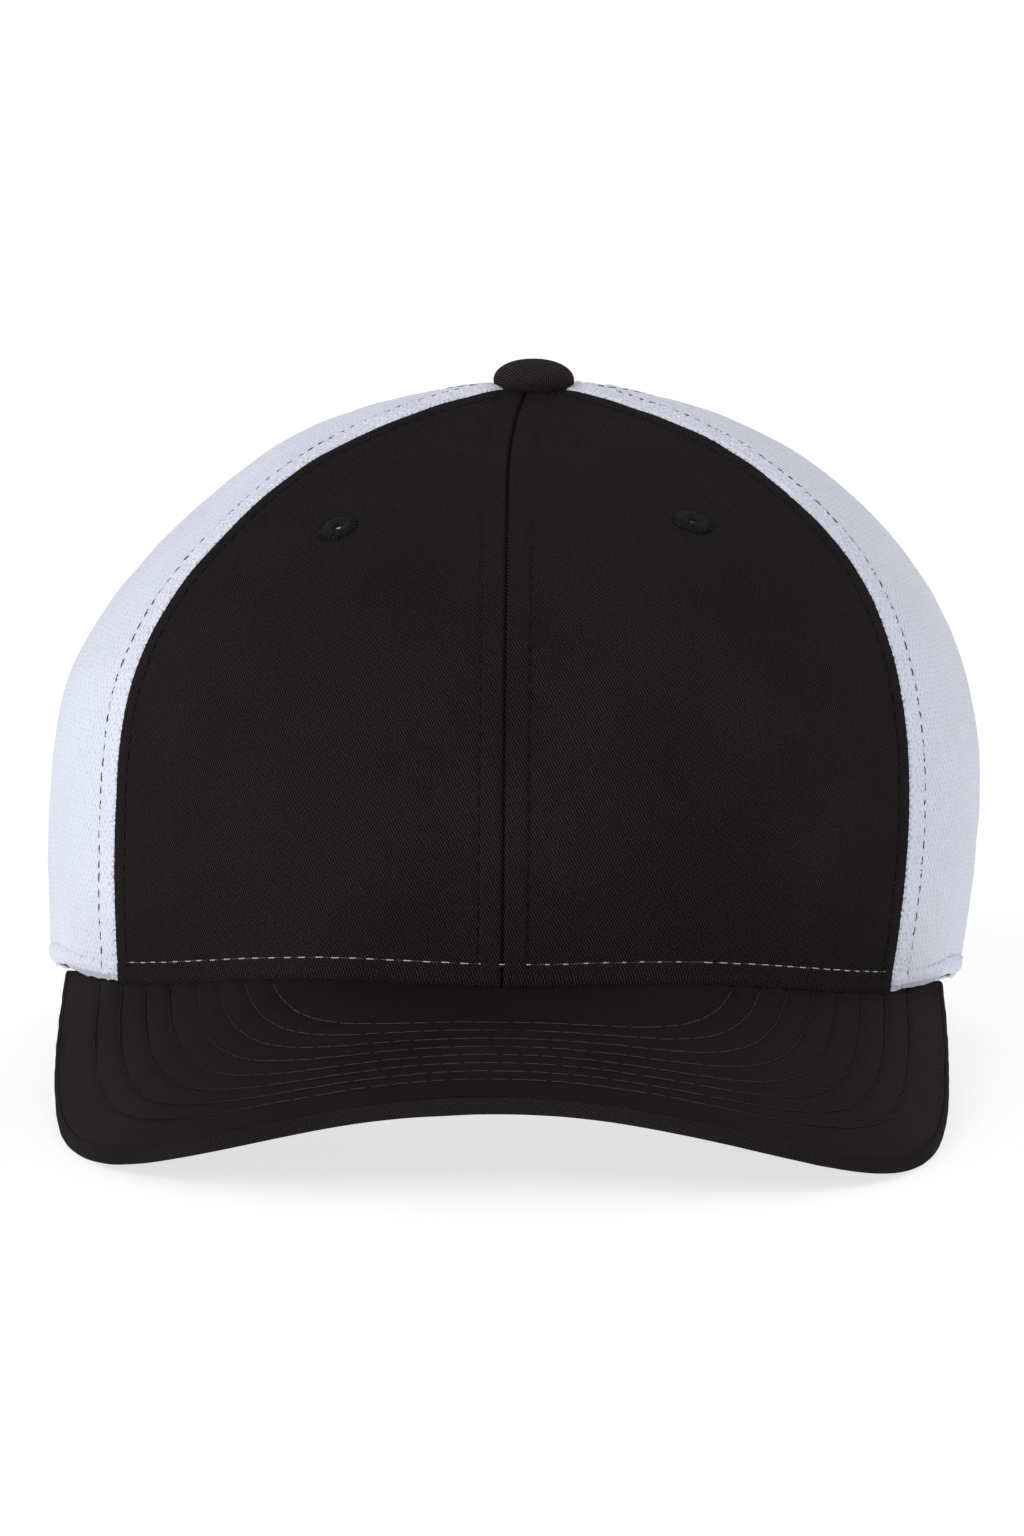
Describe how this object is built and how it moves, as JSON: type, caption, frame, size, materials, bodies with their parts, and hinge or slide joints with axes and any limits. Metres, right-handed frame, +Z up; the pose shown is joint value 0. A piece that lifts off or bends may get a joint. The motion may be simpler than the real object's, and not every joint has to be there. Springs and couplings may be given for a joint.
{
  "type": "trucker mesh cap",
  "caption": "Six-panel trucker cap with twill front panels, mesh sides and back, a pre-curved stitched visor, a covered top button and a snap strap closure.",
  "frame": {"origin": "middle of the cap's box at the surface it stands on, with the cap resting on the visor's two corners and its rear edge", "axes": "+Z up from that surface, -Y out of the front of the visor, +X to the wearer's left; the opening's plane leans back 6.7 degrees"},
  "size_m": [0.1827, 0.2834, 0.1327],
  "materials": {
    "black_twill": "matt cotton twill, black",
    "white_mesh": "dense knitted polyester mesh, cool white",
    "black_tape": "woven seam tape, black",
    "white_tape": "woven seam tape and binding, white",
    "buckram": "stiffened open-weave backing, off-white",
    "black_thread": "embroidery thread, black, slight sheen",
    "visor_board": "moulded sheet, semi-matt, dark grey",
    "sweatband": "brushed twill band, black",
    "snap_plastic": "flexible moulded plastic, satin black",
    "button_metal": "stamped, bare",
    "label": "woven satin label, white, blank"
  },
  "bodies": {
    "crown": {"front_panel_left": "black_twill", "front_panel_right": "black_twill", "front_buckram_left": "buckram", "front_buckram_right": "buckram", "side_mesh_panel_left": "white_mesh", "side_mesh_panel_right": "white_mesh", "rear_mesh_panel_left": "white_mesh", "rear_mesh_panel_right": "white_mesh", "seam_tape_front_centre": "black_tape", "seam_tape_front_side_left": "black_tape", "seam_tape_front_side_right": "black_tape", "seam_tape_side_rear_left": "white_tape", "seam_tape_side_rear_right": "white_tape", "seam_tape_rear_centre": "white_tape", "sweatband": "sweatband", "care_label": "label", "eyelet_left": "black_thread", "eyelet_right": "black_thread", "button_cover": "black_twill", "button_shell": "button_metal", "button_rivet": "button_metal", "visor_top_cover": "black_twill", "visor_board": "visor_board", "visor_under_cover": "black_twill", "arch_binding": "white_tape", "outer_strap_tab": "snap_plastic", "inner_strap_tab": "snap_plastic"},
    "outer_strap": {"outer_snap_strap": "snap_plastic"},
    "inner_strap": {"inner_snap_strap": "snap_plastic"}
  },
  "joints": [
    {"name": "outer_strap_swing", "type": "hinge", "parent": "crown", "child": "outer_strap", "pos_m": [0.03968, 0.12311, 0.01113], "axis": [0, -0.1173, -0.9931], "range_deg": [0, 60], "stiffness_Nm_per_rad": 0.01},
    {"name": "inner_strap_swing", "type": "hinge", "parent": "crown", "child": "inner_strap", "pos_m": [-0.03885, 0.12175, 0.01129], "axis": [0, -0.1173, -0.9931], "range_deg": [0, 35], "stiffness_Nm_per_rad": 0.01}
  ]
}
